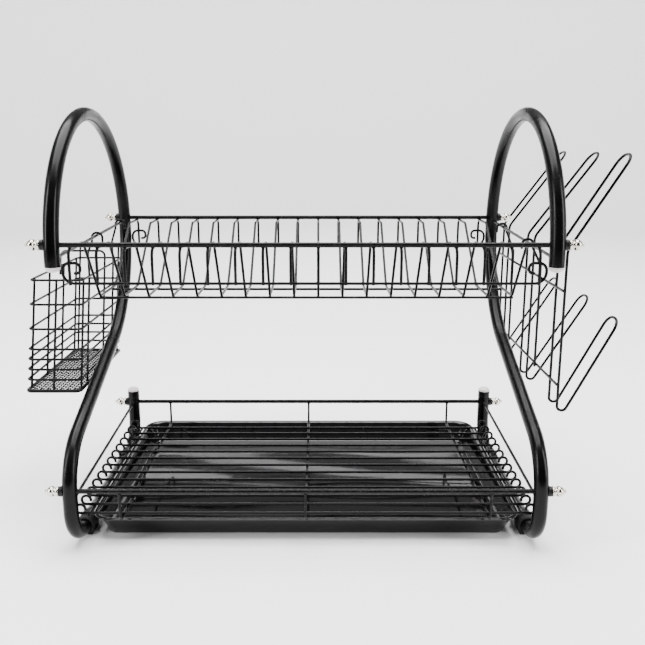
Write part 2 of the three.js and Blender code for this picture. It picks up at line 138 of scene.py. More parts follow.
def soft_light(name, spot, target, size, power):
    lamp = bpy.data.lights.new(name, "AREA")
    lamp.shape = "RECTANGLE"
    lamp.size, lamp.size_y = size
    lamp.energy = power
    holder = bpy.data.objects.new(name, lamp)
    holder.location = spot
    holder.rotation_euler = (Vector(target) - Vector(spot)).to_track_quat("-Z", "Y").to_euler()
    bpy.context.scene.collection.objects.link(holder)


studio_shell()
dark_curtain()
soft_light("overhead", (0, 0.1, 1.9), (0, 0, 0.1), (2.2, 1.6), 150)
soft_light("left_panel", (-1.7, -0.9, 0.9), (0, 0, 0.2), (0.4, 1.4), 42)
soft_light("right_panel", (1.7, -0.7, 0.8), (0, 0, 0.2), (0.3, 1.4), 30)
soft_light("wall_wash", (0, 1.3, 1.7), (0, 3.5, 0.7), (3.0, 0.5), 60)
world = bpy.data.worlds.new("studio_world")
world.use_nodes = True
world.node_tree.nodes["Background"].inputs["Color"].default_value = (1, 1, 1, 1)
world.node_tree.nodes["Background"].inputs["Strength"].default_value = 0.35
bpy.context.scene.world = world

# Side frames: 12.7 mm steel tube bent into an arch, a slope, a front leg, a floor run and a short
# rear post, sprayed gloss black. A thin stay is welded across each one at both rack levels.
tube_radius = 0.00635
tube_wall = 0.001
arch_radius = 0.116
arch_centre_drop = 0.011
front_end_drop = 0.0065
slope_angle = 21.5
shoulder_radius = 0.05
floor_bend_radius = 0.03
stay_radius = 0.0014
stay_weld_radius = 0.0023
foot_thickness = 0.003
leg_y = lower_front.y
arch_centre_z = upper_front.z - arch_centre_drop
post_y = lower_rear.y
post_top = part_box("end_plug_post_left")[0].z + 0.008
floor_run_z = worktop + foot_thickness + tube_radius


def arc(x, y, z, radius, start, end, step_angle=4):
    """Points round an arc across X, with angles in degrees from +Y towards +Z."""
    steps = math.ceil(abs(end - start) / step_angle)
    angles = [math.radians(start + (end - start) * i / steps) for i in range(steps + 1)]
    return [Vector((x, y + radius * math.cos(a), z + radius * math.sin(a))) for a in angles]


def frame_line(x):
    arch_end = slope_angle - 90
    end_y = leg_y + arch_radius * (1 + math.cos(math.radians(arch_end)))
    end_z = arch_centre_z + arch_radius * math.sin(math.radians(arch_end))
    start = 90 + slope_angle
    start_y = leg_y + shoulder_radius * (1 + math.cos(math.radians(start)))
    start_z = end_z - (end_y - start_y) * math.tan(math.radians(slope_angle))
    shoulder_z = start_z - shoulder_radius * math.sin(math.radians(start))
    bend_z = floor_run_z + floor_bend_radius
    return [
        Vector((x, leg_y, arch_centre_z - front_end_drop)),
        *arc(x, leg_y + arch_radius, arch_centre_z, arch_radius, 180, arch_end),
        *arc(x, leg_y + shoulder_radius, shoulder_z, shoulder_radius, start, 180, 6),
        *arc(x, leg_y + floor_bend_radius, bend_z, floor_bend_radius, 180, 270, 7),
        *arc(x, post_y - floor_bend_radius, bend_z, floor_bend_radius, 270, 360, 7),
        Vector((x, post_y, post_top)),
    ]


def ring_frames(points, closed):
    """A direction and two cross directions at every point, carried along without twist."""
    count = len(points)
    tangents = []
    for i in range(count):
        before = points[i - 1] if closed or i else points[i]
        after = points[(i + 1) % count] if closed or i < count - 1 else points[i]
        tangents.append((after - before).normalized())
    first = tangents[0]
    side = (first.orthogonal() if abs(first.x) > 0.9 else first.cross(Vector((1, 0, 0)))).normalized()
    frames = []
    for tangent in tangents:
        side = (side - tangent * side.dot(tangent)).normalized()
        frames.append((tangent, side, tangent.cross(side)))
    return frames


def sweep(mesh, points, radius, sides=12, closed=False, bore=0.0, round_ends=True):
    """Adds a round bar or tube along points. A solid bar's ends are slightly rounded off."""
    frames = ring_frames(points, closed)
    stations = [(point, radius, f) for point, f in zip(points, frames)]
    if not closed and not bore and round_ends:
        nose = 0.35 * radius
        first, last = stations[0], stations[-1]
        stations[0] = (first[0] + first[2][0] * nose, radius, first[2])
        stations[-1] = (last[0] - last[2][0] * nose, radius, last[2])
        stations.insert(0, (first[0], radius - nose, first[2]))
        stations.append((last[0], radius - nose, last[2]))

    def ring(point, size, cross):
        turns = [math.tau * k / sides for k in range(sides)]
        offsets = [cross[1] * math.cos(t) + cross[2] * math.sin(t) for t in turns]
        return [mesh.verts.new(point + size * offset) for offset in offsets]

    outer = [ring(*station) for station in stations]
    pairs = list(zip(outer, outer[1:])) + ([(outer[-1], outer[0])] if closed else [])
    for low, high in pairs:
        for k in range(sides):
            mesh.faces.new((low[k], low[(k + 1) % sides], high[(k + 1) % sides], high[k]))
    if bore:
        inner = [ring(point, bore, cross) for point, _, cross in stations]
        for low, high in zip(inner, inner[1:]):
            for k in range(sides):
                mesh.faces.new((low[(k + 1) % sides], low[k], high[k], high[(k + 1) % sides]))
        for rim, hollow, way in ((outer[0], inner[0], 1), (outer[-1], inner[-1], -1)):
            for k in range(sides):
                quad = (rim[(k + 1) % sides], rim[k], hollow[k], hollow[(k + 1) % sides])
                mesh.faces.new(quad[::way])
    elif not closed:
        mesh.faces.new(outer[0][::-1])
        mesh.faces.new(outer[-1])


def finish_piece(name, mesh, material, body, replaced, crease=40):
    """Turns mesh data into a named piece with its material, finish, body and the nodes it stands for."""
    bmesh.ops.recalc_face_normals(mesh, faces=mesh.faces)
    data = bpy.data.meshes.new(name)
    mesh.to_mesh(data)
    mesh.free()
    data.shade_smooth()
    data.set_sharp_from_angle(angle=math.radians(crease))
    data.materials.append(material)
    piece = bpy.data.objects.new(name, data)
    bpy.context.scene.collection.objects.link(piece)
    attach(piece, body)
    if replaced:
        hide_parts(*replaced)
    return piece


def node_group(name, inputs, outputs):
    group = bpy.data.node_groups.new(name, "ShaderNodeTree")
    for socket, default in inputs:
        entry = group.interface.new_socket(socket, in_out="INPUT", socket_type="NodeSocketFloat")
        entry.default_value = default
    for socket, kind in outputs:
        group.interface.new_socket(socket, in_out="OUTPUT", socket_type=kind)
    return group, group.nodes.new("NodeGroupInput"), group.nodes.new("NodeGroupOutput")


def noise(tree, coordinates, scale, detail=3.0, roughness=0.55):
    node = tree.nodes.new("ShaderNodeTexNoise")
    node.inputs["Detail"].default_value = detail
    node.inputs["Roughness"].default_value = roughness
    tree.links.new(coordinates, node.inputs["Vector"])
    if isinstance(scale, (int, float)):
        node.inputs["Scale"].default_value = scale
    else:
        tree.links.new(scale, node.inputs["Scale"])
    return node.outputs["Fac"]


def calculate(tree, operation, *values):
    node = tree.nodes.new("ShaderNodeMath")
    node.operation = operation
    for socket, value in zip(node.inputs, values):
        if isinstance(value, (int, float)):
            socket.default_value = value
        else:
            tree.links.new(value, socket)
    return node.outputs[0]


def spread(tree, value, low, high, to_low, to_high):
    node = tree.nodes.new("ShaderNodeMapRange")
    node.interpolation_type = "SMOOTHSTEP"
    tree.links.new(value, node.inputs["Value"])
    for name, number in (("From Min", low), ("From Max", high), ("To Min", to_low), ("To Max", to_high)):
        if isinstance(number, (int, float)):
            node.inputs[name].default_value = number
        else:
            tree.links.new(number, node.inputs[name])
    return node.outputs[0]


def orange_peel_group():
    """The soft dimples of sprayed paint, as a height, with a slow change of gloss."""
    group, entry, out = node_group(
        "orange_peel",
        [("Peel Scale", 900.0), ("Cloud Scale", 45.0)],
        [("Height", "NodeSocketFloat"), ("Gloss", "NodeSocketFloat")],
    )
    place = group.nodes.new("ShaderNodeTexCoord").outputs["Object"]
    group.links.new(noise(group, place, entry.outputs["Peel Scale"], 2), out.inputs["Height"])
    group.links.new(noise(group, place, entry.outputs["Cloud Scale"], 4), out.inputs["Gloss"])
    return group


def dust_group():
    """Settled dust and dried water marks: a mask that is strongest on surfaces that face up."""
    group, entry, out = node_group(
        "settled_dust",
        [("Scale", 120.0), ("Amount", 0.5)],
        [("Mask", "NodeSocketFloat")],
    )
    place = group.nodes.new("ShaderNodeTexCoord").outputs["Object"]
    facing = group.nodes.new("ShaderNodeNewGeometry").outputs["Normal"]
    apart = group.nodes.new("ShaderNodeSeparateXYZ")
    group.links.new(facing, apart.inputs[0])
    upward = spread(group, apart.outputs["Z"], 0.1, 1.0, 0.15, 1.0)
    specks = spread(group, noise(group, place, entry.outputs["Scale"], 6, 0.7), 0.52, 0.72, 0.0, 1.0)
    weighted = calculate(group, "MULTIPLY", specks, upward)
    group.links.new(calculate(group, "MULTIPLY", weighted, entry.outputs["Amount"]), out.inputs["Mask"])
    return group


def wear_group():
    """Rubbed high spots: a mask on sharp convex edges, broken up by noise."""
    group, entry, out = node_group(
        "rubbed_edges",
        [("Scale", 300.0), ("Amount", 0.5)],
        [("Mask", "NodeSocketFloat")],
    )
    place = group.nodes.new("ShaderNodeTexCoord").outputs["Object"]
    bend = group.nodes.new("ShaderNodeNewGeometry").outputs["Pointiness"]
    edges = spread(group, bend, 0.53, 0.62, 0.0, 1.0)
    patches = spread(group, noise(group, place, entry.outputs["Scale"], 5, 0.65), 0.45, 0.65, 0.0, 1.0)
    rubbed = calculate(group, "MULTIPLY", edges, patches)
    group.links.new(calculate(group, "MULTIPLY", rubbed, entry.outputs["Amount"]), out.inputs["Mask"])
    return group


orange_peel = orange_peel_group()
settled_dust = dust_group()
rubbed_edges = wear_group()


def coated_material(name, base, dust, rubbed, gloss, peel, dust_amount, wear_amount,
                    peel_distance, shine=0.25):
    """A glossy coating: base colour with rubbed edges and dust, changing gloss and a fine bump."""
    material = bpy.data.materials.new(name)
    material.use_nodes = True
    tree = material.node_tree
    shader = tree.nodes["Principled BSDF"]
    texture = tree.nodes.new("ShaderNodeGroup")
    texture.node_tree = orange_peel
    texture.inputs["Peel Scale"].default_value = peel
    dusty = tree.nodes.new("ShaderNodeGroup")
    dusty.node_tree = settled_dust
    dusty.inputs["Amount"].default_value = dust_amount
    worn = tree.nodes.new("ShaderNodeGroup")
    worn.node_tree = rubbed_edges
    worn.inputs["Amount"].default_value = wear_amount
    colour = None
    for mask, tone in ((worn.outputs["Mask"], rubbed), (dusty.outputs["Mask"], dust)):
        mix = tree.nodes.new("ShaderNodeMix")
        mix.data_type = "RGBA"
        tree.links.new(mask, mix.inputs["Factor"])
        if colour is None:
            mix.inputs["A"].default_value = (*base, 1)
        else:
            tree.links.new(colour, mix.inputs["A"])
        mix.inputs["B"].default_value = (*tone, 1)
        colour = mix.outputs["Result"]
    tree.links.new(colour, shader.inputs["Base Color"])
    clouds = spread(tree, texture.outputs["Gloss"], 0.3, 0.7, gloss[0], gloss[1])
    hazy = calculate(tree, "MULTIPLY_ADD", dusty.outputs["Mask"], 0.35, clouds)
    tree.links.new(hazy, shader.inputs["Roughness"])
    bump = tree.nodes.new("ShaderNodeBump")
    bump.inputs["Strength"].default_value = 0.35
    bump.inputs["Distance"].default_value = peel_distance
    tree.links.new(texture.outputs["Height"], bump.inputs["Height"])
    tree.links.new(bump.outputs["Normal"], shader.inputs["Normal"])
    shader.inputs["IOR"].default_value = 1.42
    shader.inputs["Specular IOR Level"].default_value = shine
    return material


black_paint = coated_material(
    "gloss_black_paint",
    base=(0.0012, 0.0012, 0.0014),
    dust=(0.02, 0.019, 0.018),
    rubbed=(0.03, 0.028, 0.027),
    gloss=(0.17, 0.3),
    peel=700.0,
    dust_amount=0.08,
    wear_amount=0.4,
    peel_distance=0.00004,
    shine=0.16,
)


upper_stay = (
    (upper_front.y + tube_radius, upper_front.z - 0.0118),
    (upper_rear.y - tube_radius, upper_front.z - 0.0032),
)
lower_stay = (
    (leg_y + tube_radius, lower_front.z - 0.012),
    (post_y - tube_radius, lower_front.z - 0.001),
)


def stay_height(stay, y):
    (y0, z0), (y1, z1) = stay
    return z0 + (z1 - z0) * (y - y0) / (y1 - y0)


def weld_bead(mesh, spot, axis, inner, outer):
    """A small fillet of weld and paint round the end of a wire where it meets another."""
    rows = []
    along = axis.normalized()
    across = along.orthogonal().normalized()
    up = along.cross(across)
    for lift, size in ((0.0, outer), (0.35, 0.5 * (inner + outer)), (1.0, inner)):
        point = spot + along * lift * (outer - inner) * 1.6
        rows.append([mesh.verts.new(point + size * (across * math.cos(t) + up * math.sin(t)))
                     for t in (math.tau * k / 12 for k in range(12))])
    for low, high in zip(rows, rows[1:]):
        for k in range(12):
            mesh.faces.new((low[k], low[(k + 1) % 12], high[(k + 1) % 12], high[k]))
    mesh.faces.new(rows[0][::-1])
    mesh.faces.new(rows[-1])


for side, x in zip(("left", "right"), frame_planes):
    bent_tube = bmesh.new()
    sweep(bent_tube, frame_line(x), tube_radius, 32, bore=tube_radius - tube_wall)
    for stay in (upper_stay, lower_stay):
        (y0, z0), (y1, z1) = stay
        front, back = Vector((x, y0 - 0.0004, z0)), Vector((x, y1 + 0.0004, z1))
        sweep(bent_tube, [front, back], stay_radius, 12, round_ends=False)
        weld_bead(bent_tube, front, back - front, stay_radius, stay_weld_radius)
        weld_bead(bent_tube, back, front - back, stay_radius, stay_weld_radius)
    finish_piece(f"bent_tube_{side}", bent_tube, black_paint, "rack", [f"side_frame_{side}"])

# Rails: four straight steel rods of 4.2 mm, sprayed gloss black. Each passes through a hole in both
# side frames and ties them together, with a nut on each threaded end.
rail_radius = 0.0021
for level, side in (("upper", "front"), ("upper", "rear"), ("lower", "front"), ("lower", "rear")):
    low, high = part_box(f"{level}_{side}_rail")
    axis = (low + high) / 2
    rail = bmesh.new()
    sweep(rail, [Vector((low.x, axis.y, axis.z)), Vector((high.x, axis.y, axis.z))], rail_radius, 20)
    finish_piece(f"{level}_{side}_rod", rail, black_paint, "rack", [f"{level}_{side}_rail"])

# Cap nuts: turned metal with bright chrome plating, screwed on the ends of the rails. Each has a flat
# collar, a recessed neck, a bulb and a small tip.
nut_bore = 0.0023
nut_bore_depth = 0.0058
nut_outline = [
    (0.0023, 0.0), (0.0041, 0.0), (0.0043, 0.0002), (0.0043, 0.0017),
    (0.0041, 0.0019), (0.0034, 0.0021), (0.0031, 0.0025), (0.0031, 0.0036),
    (0.0034, 0.0040), (0.0042, 0.0043), (0.0045, 0.0050), (0.0046, 0.0060),
    (0.0044, 0.0071), (0.0039, 0.0082), (0.0031, 0.0093), (0.0022, 0.0101),
    (0.0016, 0.0105), (0.0014, 0.0110), (0.0015, 0.0114), (0.0013, 0.0119),
    (0.0008, 0.0122), (0.0, 0.0123),
]


def lathe(mesh, outline, spot, axis, sides=32):
    """Turns an outline of (radius, distance) pairs round an axis that starts at a spot."""
    along = axis.normalized()
    across = along.orthogonal().normalized()
    up = along.cross(across)
    rows = []
    for radius, distance in outline:
        centre = spot + along * distance
        if radius == 0.0:
            rows.append([mesh.verts.new(centre)])
            continue
        turns = [math.tau * k / sides for k in range(sides)]
        offsets = [across * math.cos(t) + up * math.sin(t) for t in turns]
        rows.append([mesh.verts.new(centre + radius * offset) for offset in offsets])
    for low, high in zip(rows, rows[1:]):
        for k in range(sides):
            j = (k + 1) % sides
            if len(low) == 1:
                mesh.faces.new((low[0], high[j], high[k]))
            elif len(high) == 1:
                mesh.faces.new((low[k], low[j], high[0]))
            else:
                mesh.faces.new((low[k], low[j], high[j], high[k]))


def chrome_material():
    """Bright chrome with fine turning marks and a few dull, rougher spots; the warm tint and the darker,
    warmer colour of the spots are a painted warm, dark reflection.
    """
    material = bpy.data.materials.new("bright_chrome")
    material.use_nodes = True
    tree = material.node_tree
    shader = tree.nodes["Principled BSDF"]
    shader.inputs["Metallic"].default_value = 1
    texture = tree.nodes.new("ShaderNodeGroup")
    texture.node_tree = orange_peel
    texture.inputs["Peel Scale"].default_value = 2500.0
    # Painted reflection: a warm base colour, darker and warmer in cloudy patches, stands in for the warm,
    # dark reflection on the nuts.
    tint = tree.nodes.new("ShaderNodeMix")
    tint.data_type = "RGBA"
    tint.inputs["A"].default_value = (0.66, 0.62, 0.57, 1)
    tint.inputs["B"].default_value = (0.44, 0.38, 0.32, 1)
    tree.links.new(spread(tree, texture.outputs["Gloss"], 0.4, 0.7, 0, 1), tint.inputs["Factor"])
    tree.links.new(tint.outputs["Result"], shader.inputs["Base Color"])
    tree.links.new(spread(tree, texture.outputs["Gloss"], 0.3, 0.7, 0.06, 0.2), shader.inputs["Roughness"])
    bump = tree.nodes.new("ShaderNodeBump")
    bump.inputs["Strength"].default_value = 0.15
    bump.inputs["Distance"].default_value = 0.00003
    tree.links.new(texture.outputs["Height"], bump.inputs["Height"])
    tree.links.new(bump.outputs["Normal"], shader.inputs["Normal"])
    return material


bright_chrome = chrome_material()
rail_places = [
    ("upper_front", upper_front),
    ("upper_rear", upper_rear),
    ("lower_front", lower_front),
    ("lower_rear", lower_rear),
]
for level, axis in rail_places:
    for side, way in (("left", -1), ("right", 1)):
        node = f"cap_nut_{level}_{side}"
        low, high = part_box(node)
        face = high.x if way < 0 else low.x
        nut = bmesh.new()
        start = Vector((face, axis.y, axis.z))
        hole = [(0.0, nut_bore_depth), (nut_bore, nut_bore_depth)]
        lathe(nut, [*hole, *nut_outline], start, Vector((way, 0, 0)))
        finish_piece(f"finial_nut_{level}_{side}", nut, bright_chrome, "rack", [node], crease=50)

# Saddle washers: moulded black plastic, threaded on the rails between the cap nuts and the tubes.
# They are round outside and hollowed inside, to sit on the side of the tube.
washer_radius = 0.0045
washer_thickness = 0.0024
black_plastic = coated_material(
    "moulded_black_plastic",
    base=(0.002, 0.002, 0.0023),
    dust=(0.06, 0.058, 0.055),
    rubbed=(0.03, 0.03, 0.03),
    gloss=(0.3, 0.42),
    peel=1500.0,
    dust_amount=0.2,
    wear_amount=0.4,
    peel_distance=0.00003,
)


def saddle_washer(face, axis, way):
    """Rings of a disc whose inner face follows the round of the tube."""
    mesh = bmesh.new()
    sides = 32
    turns = [math.tau * k / sides for k in range(sides)]
    saddle = tube_radius + 0.0003
    centre_x = face - way * (washer_thickness + tube_radius)

    def inner_x(y):
        return centre_x + way * math.sqrt(max(saddle ** 2 - y ** 2, 0))

    rims = []
    section = ((0.0024, None), (washer_radius, None), (washer_radius, 0.0007), (0.0037, 0.0), (0.0024, 0.0))
    for radius, place in section:
        ring = []
        for t in turns:
            y, z = radius * math.cos(t), radius * math.sin(t)
            x = inner_x(y) if place is None else face - way * place
            ring.append(mesh.verts.new((x, axis.y + y, axis.z + z)))
        rims.append(ring)
    rims.append(rims[0])
    for low, high in zip(rims, rims[1:]):
        for k in range(sides):
            mesh.faces.new((low[k], low[(k + 1) % sides], high[(k + 1) % sides], high[k]))
    return mesh


for level, axis in rail_places:
    for side, way in (("left", -1), ("right", 1)):
        node = f"saddle_washer_{level}_{side}"
        low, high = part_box(node)
        face = low.x if way < 0 else high.x
        washer = saddle_washer(face, axis, way)
        finish_piece(f"saddle_{level}_{side}", washer, black_plastic, "rack", [node])

# End plugs: moulded from milky, translucent plastic and pressed into the four open ends of the tubes,
# with a dome that stands out of the end and a stem inside.
plug_bore = tube_radius - tube_wall - 0.0002
plug_outline = [
    (0.0, -0.008), (plug_bore - 0.0006, -0.008), (plug_bore, -0.007), (plug_bore, 0.0002),
    (tube_radius - 0.0001, 0.0002), (tube_radius - 0.0001, 0.0011), (0.0059, 0.0021), (0.0050, 0.0031),
    (0.0037, 0.0039), (0.0020, 0.0044), (0.0, 0.0046),
]


def plug_material():
    """Milky polyethylene: light passes a little way in, with a pinkish cast and soft cloudiness."""
    material = bpy.data.materials.new("milky_plastic")
    material.use_nodes = True
    tree = material.node_tree
    shader = tree.nodes["Principled BSDF"]
    texture = tree.nodes.new("ShaderNodeGroup")
    texture.node_tree = orange_peel
    texture.inputs["Peel Scale"].default_value = 1200.0
    texture.inputs["Cloud Scale"].default_value = 160.0
    tint = tree.nodes.new("ShaderNodeMix")
    tint.data_type = "RGBA"
    tint.inputs["A"].default_value = (0.66, 0.61, 0.61, 1)
    tint.inputs["B"].default_value = (0.48, 0.42, 0.42, 1)
    tree.links.new(texture.outputs["Gloss"], tint.inputs["Factor"])
    tree.links.new(tint.outputs["Result"], shader.inputs["Base Color"])
    tree.links.new(spread(tree, texture.outputs["Gloss"], 0.3, 0.7, 0.3, 0.5), shader.inputs["Roughness"])
    bump = tree.nodes.new("ShaderNodeBump")
    bump.inputs["Strength"].default_value = 0.2
    bump.inputs["Distance"].default_value = 0.00005
    tree.links.new(texture.outputs["Height"], bump.inputs["Height"])
    tree.links.new(bump.outputs["Normal"], shader.inputs["Normal"])
    shader.inputs["Subsurface Weight"].default_value = 0.35
    shader.inputs["Subsurface Radius"].default_value = (0.003, 0.0025, 0.0025)
    return material


milky_plastic = plug_material()
for side, x in zip(("left", "right"), frame_planes):
    ends = (
        ("front", Vector((x, leg_y, arch_centre_z - front_end_drop)), Vector((0, 0, -1))),
        ("post", Vector((x, post_y, post_top)), Vector((0, 0, 1))),
    )
    for end, spot, axis in ends:
        plug = bmesh.new()
        lathe(plug, plug_outline, spot, axis)
        finish_piece(f"domed_plug_{end}_{side}", plug, milky_plastic, "rack",
                     [f"end_plug_{end}_{side}"])

# Rubber feet: moulded sleeves pushed over each floor run, two to a side frame, flat underneath and
# round on top, with two shallow grooves.
black_rubber = coated_material(
    "black_rubber",
    base=(0.012, 0.012, 0.012),
    dust=(0.09, 0.085, 0.08),
    rubbed=(0.03, 0.03, 0.03),
    gloss=(0.6, 0.8),
    peel=2600.0,
    dust_amount=0.5,
    wear_amount=0.5,
    peel_distance=0.00006,
)


def sleeve_foot(low, high):
    """A sleeve round the tube with a flat sole, softened end edges and two grooves."""
    mesh = bmesh.new()
    centre = (low + high) / 2
    sleeve_radius = (high.x - low.x) / 2
    half = (high.y - low.y) / 2
    sole_half = 0.0065
    groove_depth = 0.0004
    bore = tube_radius + 0.0002
    sides = 48

    def section(y, shrink, inner):
        ring = []
        for t in (math.tau * k / sides for k in range(sides)):
            size = bore if inner else sleeve_radius - shrink
            x, z = size * math.cos(t), size * math.sin(t)
            if not inner and z < -0.003:
                depth = floor_run_z - low.z - shrink
                share = (-z - 0.003) / (size - 0.003)
                z = -0.003 - (depth - 0.003) * min(1.0, 1.7 * share)
                x = max(-sole_half, min(sole_half, x * 1.25)) if share > 0.35 else x
            ring.append(mesh.verts.new((centre.x + x, centre.y + y, floor_run_z + z)))
        return ring

    stations = [(-half, 0.0007), (-half + 0.0003, 0.0002), (-half + 0.0009, 0.0)]
    for middle in (-0.0035, 0.0035):
        stations += [(middle - 0.0008, 0.0), (middle - 0.0004, groove_depth)]
        stations += [(middle + 0.0004, groove_depth), (middle + 0.0008, 0.0)]
    stations += [(half - 0.0009, 0.0), (half - 0.0003, 0.0002), (half, 0.0007)]
    outer = [section(y, shrink, False) for y, shrink in stations]
    inner = [section(-half, 0, True), section(half, 0, True)]
    for near, far in zip(outer, outer[1:]):
        for k in range(sides):
            mesh.faces.new((near[k], near[(k + 1) % sides], far[(k + 1) % sides], far[k]))
    for k in range(sides):
        j = (k + 1) % sides
        mesh.faces.new((inner[0][j], inner[0][k], inner[1][k], inner[1][j]))
        mesh.faces.new((outer[0][j], outer[0][k], inner[0][k], inner[0][j]))
        mesh.faces.new((outer[-1][k], outer[-1][j], inner[1][j], inner[1][k]))
    return mesh


for end in ("front", "rear"):
    for side in ("left", "right"):
        node = f"rubber_foot_{end}_{side}"
        foot = sleeve_foot(*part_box(node))
        finish_piece(f"sleeve_foot_{end}_{side}", foot, black_rubber, "rack", [node])

# Upper rack, low wires: steel wire sprayed gloss black, one below each upper rail. Both ends are
# turned up into small scrolls, and the legs of the plate dividers are welded to them.
wire_radius = 0.00125
low_wire_drop = 31
leg_inset = 3.02
scroll_width = 14
scroll_height = 16.5
rail_height = (upper_front.z - worktop) * 1000
rail_front = (upper_front.y - leg_y) * 1000
rail_back = (upper_rear.y - leg_y) * 1000
half_span = (frame_planes[1] - frame_planes[0]) * 500


def at(x, y, z):
    """Millimetres from the middle plane, the front legs and the worktop, as a place in the scene."""
    return Vector((middle_x + x * 0.001, leg_y + y * 0.001, worktop + z * 0.001))


def bent(corners, closed=False, step_angle=9):
    """The line of a bent wire: corners are x, y, z and, where the wire bends, the radius."""
    spots = [at(*entry[:3]) for entry in corners]
    line = []
    for i, (spot, entry) in enumerate(zip(spots, corners)):
        if len(entry) < 4 or (not closed and i in (0, len(spots) - 1)):
            line.append(spot)
            continue
        radius = entry[3] * 0.001
        into = (spot - spots[i - 1]).normalized()
        away = (spots[(i + 1) % len(spots)] - spot).normalized()
        turn = into.angle(away)
        axis = into.cross(away).normalized()
        inward = axis.cross(into)
        centre = spot - into * radius * math.tan(turn / 2) + inward * radius
        steps = max(2, math.ceil(math.degrees(turn) / step_angle))
        for k in range(steps + 1):
            line.append(centre - Matrix.Rotation(turn * k / steps, 3, axis) @ (inward * radius))
    return line


edge = half_span - 6.35 - 1.1 - 0.3
low_wire_z = rail_height - low_wire_drop
for side, y in (("front", rail_front - leg_inset + 2.3), ("rear", rail_back + leg_inset - 2.3)):
    scroll = [
        (scroll_width - 5, low_wire_z + scroll_height / 2, 0),
        (scroll_width, low_wire_z + scroll_height / 2, 3),
        (scroll_width, low_wire_z + scroll_height, 4),
        (0, low_wire_z + scroll_height, 6),
        (0, low_wire_z, 9),
    ]
    left = [(inset - edge, y, z, r) for inset, z, r in scroll]
    right = [(edge - inset, y, z, r) for inset, z, r in reversed(scroll)]
    scrolled = bmesh.new()
    sweep(scrolled, bent(left + right, step_angle=7), wire_radius, 12)
    finish_piece(f"scrolled_wire_{side}", scrolled, black_paint, "rack",
                 [f"low_{side}_wire"])

# Upper rack, floor wires: two straight steel wires, sprayed gloss black. They are welded under the
# bottoms of the plate dividers and tie them together.
for side in ("front", "rear"):
    low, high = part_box(f"rack_floor_wire_{side}")
    axis = (low + high) / 2
    floor_wire = bmesh.new()
    sweep(floor_wire, [Vector((low.x, axis.y, axis.z)), Vector((high.x, axis.y, axis.z))], wire_radius, 12)
    finish_piece(f"trough_wire_{side}", floor_wire, black_paint, "rack",
                 [f"rack_floor_wire_{side}"])

# Plate dividers: eighteen wires bent to a wide W. Their flat crests pass under the upper rails and
# are spot welded to them, and their legs are welded to the low wires.
crest_z = rail_height - 2.5
crest_width = 39
trough_front = rail_front + 0.33 * (rail_back - rail_front)
trough_back = rail_back - 0.448 * (rail_back - rail_front)
trough_z = rail_height - 56.5
leg_front = rail_front - leg_inset
leg_back = rail_back + leg_inset
divider_line = [
    (leg_front, low_wire_z - 1.1),
    (leg_front, crest_z, 7),
    (leg_front + crest_width, crest_z, 5),
    (trough_front, trough_z, 5),
    (trough_back, trough_z, 5),
    (leg_back - crest_width, crest_z, 5),
    (leg_back, crest_z, 7),
    (leg_back, low_wire_z - 1.1),
]


def weld_spot(mesh, spot, radius=0.0013):
    """A small blob of weld, flattened a little, where two wires touch."""
    ball = bmesh.ops.create_icosphere(mesh, subdivisions=2, radius=radius)
    for vertex in ball["verts"]:
        vertex.co = spot + Vector((vertex.co.x * 1.25, vertex.co.y, vertex.co.z * 0.9))


for i in range(1, 19):
    node = f"plate_divider_{i:02d}"
    low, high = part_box(node)
    x = ((low.x + high.x) / 2 - middle_x) * 1000
    divider = bmesh.new()
    sweep(divider, bent([(x, *entry) for entry in divider_line]), wire_radius, 12)
    for rail, leg, way in ((rail_front, leg_front, 1), (rail_back, leg_back, -1)):
        weld_spot(divider, at(x, rail + way * 0.8, rail_height - 2.1))
        weld_spot(divider, at(x, leg + way * 1.15, low_wire_z))
    finish_piece(f"divider_wire_{i:02d}", divider, black_paint, "rack", [node])

# Lower rack grid: thirteen cross wires of black sprayed steel, with both ends curled up into rings.
# They are welded on two side wires and three wires that hang from the lower rails.
grid_z = 33.5
grid_front = 9.5
grid_pitch = 16.75
grid_count = 13
curl = 4
hanger_weld_radius = 0.0018
low_rail_z = (lower_front.z - worktop) * 1000
post_back = (post_y - leg_y) * 1000
grid = bmesh.new()
reach = half_span - 1 - curl
for i in range(grid_count):
    y = grid_front + i * grid_pitch
    ring = [
        (reach - curl, grid_z + 0.7 * curl, 0),
        (reach - curl, grid_z + 2 * curl, 0.97 * curl),
        (reach + curl, grid_z + 2 * curl, 0.97 * curl),
        (reach + curl, grid_z, 0.97 * curl),
    ]
    left = [(-x, y, z, r) for x, z, r in ring]
    right = [(x, y, z, r) for x, z, r in reversed(ring)]
    sweep(grid, bent(left + right, step_angle=12), wire_radius, 10)
under = grid_z - 1.87
grid_back = grid_front + (grid_count - 1) * grid_pitch
for x in (12 - half_span, half_span - 12):
    sweep(grid, bent([(x, grid_front - 2, under), (x, grid_back + 2, under)]), wire_radius, 10)
hanger_top = low_rail_z - 2.1 - 0.05
for x in (-159, 0, 159):
    hanger = [(x, 0, hanger_top), (x, 0, under, 5), (x, post_back, under, 5), (x, post_back, hanger_top)]
    sweep(grid, bent(hanger), wire_radius, 10, round_ends=False)
    for y in (0, post_back):
        weld_bead(grid, at(x, y, hanger_top), Vector((0, 0, -1)), wire_radius, hanger_weld_radius)
finish_piece("cross_wire_grid", grid, black_paint, "rack", ["lower_grid"])

